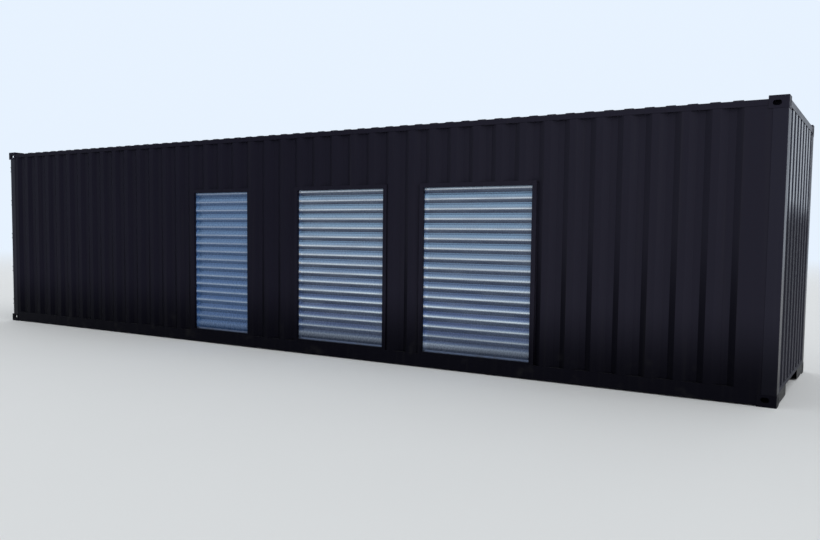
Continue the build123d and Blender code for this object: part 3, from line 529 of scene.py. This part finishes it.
def add_disc(bm, middle, axis, radius, height, sides):
    """A short round bar with a bevelled outer rim, standing on a point along an axis."""
    turn = Vector(axis).to_track_quat("Z", "Y").to_matrix()
    place = Vector(middle)
    rings = []
    for size, level in ((1.0, 0.0), (1.0, DISC_RIM), (DISC_RIM, 1.0)):
        ring = []
        for k in range(sides):
            angle = 2 * pi * k / sides
            flat = Vector((radius * size * cos(angle), radius * size * sin(angle), height * level))
            ring.append(bm.verts.new(place + turn @ flat))
        rings.append(ring)
    for lower, upper in zip(rings, rings[1:]):
        for k in range(sides):
            nxt = (k + 1) % sides
            bm.faces.new((lower[k], lower[nxt], upper[nxt], upper[k]))
    bm.faces.new(rings[-1])
    bm.faces.new(list(reversed(rings[0])))


def add_box(bm, low, high):
    """A box between its lowest and its highest corner."""
    corners = [bm.verts.new(corner) for corner in product(*zip(low, high))]
    for face in BOX_FACES:
        bm.faces.new([corners[k] for k in face])


# Shutter curtains: one sheet of convex ribs with sharp grooves between them
RIB_PITCH = 0.1158
RIB_GROOVE = 0.016
RIB_RISE = 0.0140
GROOVE_DEPTH = 0.0028
RIB_STEPS = 14
SHEET = 0.0012
SHEET_SMOOTH = 28  # degrees between faces, up to which they are shaded as one


def curtain_line(bottom, top, front):
    """The sheet's front line from its bottom to its top, as (y, z)."""
    chord = RIB_PITCH - RIB_GROOVE
    radius = (chord * chord / 4 + RIB_RISE * RIB_RISE) / (2 * RIB_RISE)
    reach = asin(chord / 2 / radius)
    count = round((top - bottom) / RIB_PITCH)
    line = [(front + RIB_RISE + GROOVE_DEPTH, bottom)]
    for k in range(count):
        middle = bottom + (k + 0.5) * RIB_PITCH
        for step in range(RIB_STEPS + 1):
            angle = reach * (2 * step / RIB_STEPS - 1)
            line.append((front + radius * (1 - cos(angle)), middle + radius * sin(angle)))
        line.append((front + RIB_RISE + GROOVE_DEPTH, bottom + (k + 1) * RIB_PITCH))
    return line


def curtains():
    """The three curtains, each in the place of its straight-ribbed solid."""
    for number in (1, 2, 3):
        node = f"shutter_{number}_curtain"
        low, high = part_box(node)
        line = curtain_line(low[2], high[2], low[1])
        bm = bmesh.new()
        columns = []
        for x in (low[0], high[0]):
            columns.append(
                (
                    [bm.verts.new((x, y, z)) for y, z in line],
                    [bm.verts.new((x, y + SHEET, z)) for y, z in line],
                )
            )
        (front_a, back_a), (front_b, back_b) = columns
        for k in range(len(line) - 1):
            bm.faces.new((front_a[k], front_b[k], front_b[k + 1], front_a[k + 1]))
            bm.faces.new((back_a[k], back_a[k + 1], back_b[k + 1], back_b[k]))
            bm.faces.new((front_a[k], front_a[k + 1], back_a[k + 1], back_a[k]))
            bm.faces.new((front_b[k], back_b[k], back_b[k + 1], front_b[k + 1]))
        bm.faces.new((front_a[0], back_a[0], back_b[0], front_b[0]))
        bm.faces.new((front_a[-1], front_b[-1], back_b[-1], back_a[-1]))
        piece = add_mesh(f"curtain_{number}_ribs", bm, "galvanised_steel", SHEET_SMOOTH)
        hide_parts(node)


# Door hardware: hinge pins, rivets and the gaskets' outer lips
DOOR_FACE = -6.052
HINGE_PIN_Y = 1.190
HINGE_PIN_RADIUS = 0.0075
HINGE_PIN_HALF = 0.0485
HINGE_PIN_SIDES = 20
HINGE_EYE = 0.014
HINGE_LEVELS = [0.334 + (2.608 - 0.334) * k / 4 for k in range(5)]
ROD_YS = (-0.905, -0.215, 0.215, 0.905)
GUIDE_LEVELS = [0.330 + (2.566 - 0.330) * k / 3 for k in range(4)]
GUIDE_HEIGHT = 0.046
DOOR_EDGES = (0.005, 1.160)
DOOR_LEVELS = (0.174, 2.768)
OPENING_Y = 1.170
OPENING_LEVELS = (0.164, 2.778)
KEEPER_LEVELS = (0.141, 2.801)
LIP_DEPTHS = (0.003, 0.009)  # behind the doors' faces
ROUND_SMOOTH = 40

# Rivet heads on the hinge leaves, the rod guides and the cam keepers, as (radius, height, sides)
LEAF_RIVET = (0.0085, 0.005, 14)
GUIDE_RIVET = (0.0075, 0.005, 14)
KEEPER_RIVET = (0.006, 0.004, 12)

# How far each of those plates stands out from the door's face
LEAF_PLATE = 0.008
GUIDE_PLATE = 0.004
KEEPER_PLATE = 0.003

# Their places: in from the door's edge on a leaf, and beside the rod on a guide and a keeper
LEAF_RIVETS_INWARD = (0.025, 0.062, 0.118)
GUIDE_RIVET_ASIDE = 0.036
KEEPER_RIVET_ASIDE = 0.0435


def hinge_pins():
    """Pins through the hinge eyes, each in an upper and a lower half."""
    bm = bmesh.new()
    for side in (-1, 1):
        for level in HINGE_LEVELS:
            place = (DOOR_FACE - HINGE_EYE, side * HINGE_PIN_Y, level)
            for way in (1, -1):
                add_disc(bm, place, (0, 0, way), HINGE_PIN_RADIUS, HINGE_PIN_HALF, HINGE_PIN_SIDES)
    add_mesh("hinge_pins", bm, "worn_steel", ROUND_SMOOTH)


def door_rivets():
    """Round heads on the hinge leaves, the rod guides and the cam keepers."""
    bm = bmesh.new()
    out = (-1, 0, 0)
    for side in (-1, 1):
        for level in HINGE_LEVELS:
            for inward in LEAF_RIVETS_INWARD:
                place = (DOOR_FACE - LEAF_PLATE, side * (DOOR_EDGES[1] - inward), level)
                add_disc(bm, place, out, *LEAF_RIVET)
    for y in ROD_YS:
        for side in (-1, 1):
            for level in GUIDE_LEVELS:
                place = (DOOR_FACE - GUIDE_PLATE, y + side * GUIDE_RIVET_ASIDE, level + GUIDE_HEIGHT / 2)
                add_disc(bm, place, out, *GUIDE_RIVET)
            for level in KEEPER_LEVELS:
                place = (DOOR_FACE - KEEPER_PLATE, y + side * KEEPER_RIVET_ASIDE, level)
                add_disc(bm, place, out, *KEEPER_RIVET)
    add_mesh("door_rivets", bm, "black_paint_on_gear", ROUND_SMOOTH)


def gasket_lips():
    """Rubber lips that close the gap round each leaf, a little behind its face."""
    bm = bmesh.new()
    near, far = (DOOR_FACE + depth for depth in LIP_DEPTHS)
    for side in (-1, 1):
        for inner, outer in ((0.0, DOOR_EDGES[0]), (DOOR_EDGES[1], OPENING_Y)):
            y0, y1 = sorted((side * inner, side * outer))
            add_box(bm, (near, y0, OPENING_LEVELS[0]), (far, y1, OPENING_LEVELS[1]))
        y0, y1 = sorted((side * DOOR_EDGES[0], side * DOOR_EDGES[1]))
        add_box(bm, (near, y0, OPENING_LEVELS[0]), (far, y1, DOOR_LEVELS[0]))
        add_box(bm, (near, y0, DOOR_LEVELS[1]), (far, y1, OPENING_LEVELS[1]))
    add_mesh("gasket_lips", bm, "gasket_rubber")


# Floor: plywood boards two abreast, whose ends meet over the middle of every fifth cross member
FIRST_CROSS = -5.7975
CROSS_PITCH = 0.430
BOARD_PITCHES = 5
BOARD_ROWS = 6
BOARD_JOINTS = [FIRST_CROSS + BOARD_PITCHES * CROSS_PITCH * k for k in range(1, BOARD_ROWS)]
BOARD_GAP = 0.003
BOARD_EDGE = 0.0015


def plywood_boards():
    """Separate boards with broken edges, in the place of the floor's slab."""
    low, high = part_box("floor_boards")
    half_gap = BOARD_GAP / 2
    starts = [low[0]] + [joint + half_gap for joint in BOARD_JOINTS]
    stops = [joint - half_gap for joint in BOARD_JOINTS] + [high[0]]
    bm = bmesh.new()
    for x0, x1 in zip(starts, stops):
        add_box(bm, (x0, low[1], low[2]), (x1, -half_gap, high[2]))
        add_box(bm, (x0, half_gap, low[2]), (x1, high[1], high[2]))
    bmesh.ops.bevel(bm, geom=bm.edges[:], offset=BOARD_EDGE, segments=1, affect="EDGES")
    piece = add_mesh("plywood_boards", bm, "floor_plywood")
    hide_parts("floor_boards")


def seen_rays(tree):
    """1 for rays that meet the pale background, and 0 for those that meet the light."""
    path = tree.nodes.new("ShaderNodeLightPath")
    seen = path.outputs[SEEN_RAYS[0]]
    for ray in SEEN_RAYS[1:]:
        either = tree.nodes.new("ShaderNodeMath")
        either.operation = "MAXIMUM"
        tree.links.new(seen, either.inputs[0])
        tree.links.new(path.outputs[ray], either.inputs[1])
        seen = either.outputs[0]
    return seen


def stage():
    """A plain pale floor under the container, which turns into background far from it."""
    mesh = bpy.data.meshes.new("stage_floor")
    half = FLOOR_SIZE / 2
    corners = [(-half, -half, 0), (half, -half, 0), (half, half, 0), (-half, half, 0)]
    mesh.from_pydata(corners, [], [(0, 1, 2, 3)])
    floor = bpy.data.objects.new("stage_floor", mesh)
    scene.collection.objects.link(floor)
    s = Surface("stage_floor")
    colour = s.mix(s.noise(0.5, detail=3.0), FLOOR_COLOUR, tuple(FLOOR_SHADE * c for c in FLOOR_COLOUR))
    mesh.materials.append(s.finish(colour, 0.85, specular=0.1))
    away = s.node("ShaderNodeVectorMath", operation="LENGTH")
    s.feed(away.inputs[0], s.place)
    share = s.math("MULTIPLY", s.span(away.outputs["Value"], *FLOOR_FADES), seen_rays(s.tree))
    pale = s.node("ShaderNodeEmission")
    s.feed(pale.inputs["Color"], BACKGROUND_COLOUR)
    blend = s.node("ShaderNodeMixShader")
    s.feed(blend.inputs[0], share)
    s.tree.links.new(s.shader.outputs[0], blend.inputs[1])
    s.tree.links.new(pale.outputs[0], blend.inputs[2])
    s.tree.links.new(blend.outputs[0], s.tree.nodes["Material Output"].inputs["Surface"])


def lights():
    """Soft light from the whole sky and two very wide lamps, with a pale background."""
    world = bpy.data.worlds.new("studio")
    scene.world = world
    world.use_nodes = True
    tree = world.node_tree
    light = tree.nodes["Background"]
    light.inputs["Color"].default_value = (*SKY_COLOUR, 1.0)
    light.inputs["Strength"].default_value = SKY_STRENGTH
    pale = tree.nodes.new("ShaderNodeBackground")
    pale.inputs["Color"].default_value = (*BACKGROUND_COLOUR, 1.0)
    pale.inputs["Strength"].default_value = 1.0
    choose = tree.nodes.new("ShaderNodeMixShader")
    tree.links.new(seen_rays(tree), choose.inputs[0])
    tree.links.new(light.outputs[0], choose.inputs[1])
    tree.links.new(pale.outputs[0], choose.inputs[2])
    tree.links.new(choose.outputs[0], tree.nodes["World Output"].inputs["Surface"])
    for name, strength, comes_from in LAMPS:
        lamp = bpy.data.lights.new(name, "SUN")
        lamp.energy = strength
        lamp.angle = radians(LAMP_ANGLE)
        held = bpy.data.objects.new(name, lamp)
        held.rotation_mode = "QUATERNION"
        held.rotation_quaternion = Vector(comes_from).to_track_quat("Z", "Y")
        scene.collection.objects.link(held)


def camera():
    """The photograph's camera: place, turn, pitch, roll and optical centre as measured in it."""
    lens = bpy.data.cameras.new("camera")
    lens.sensor_width = SENSOR
    lens.lens = SENSOR * FOCAL_PIXELS / PHOTO_WIDTH
    lens.shift_y = CENTRE_BELOW / PHOTO_WIDTH
    lens.clip_end = VIEW_REACH
    eye = bpy.data.objects.new("camera", lens)
    turn = Matrix.Rotation(radians(CAMERA_TURN), 4, "Z")
    pitch = Matrix.Rotation(pi / 2 + radians(CAMERA_PITCH), 4, "X")
    roll = Matrix.Rotation(radians(CAMERA_ROLL), 4, "Z")
    eye.matrix_world = Matrix.Translation(CAMERA_PLACE) @ turn @ pitch @ roll
    scene.collection.objects.link(eye)
    scene.camera = eye


curtains()
hinge_pins()
door_rivets()
gasket_lips()
plywood_boards()
stage()
lights()
camera()
scene.view_settings.view_transform = "Standard"
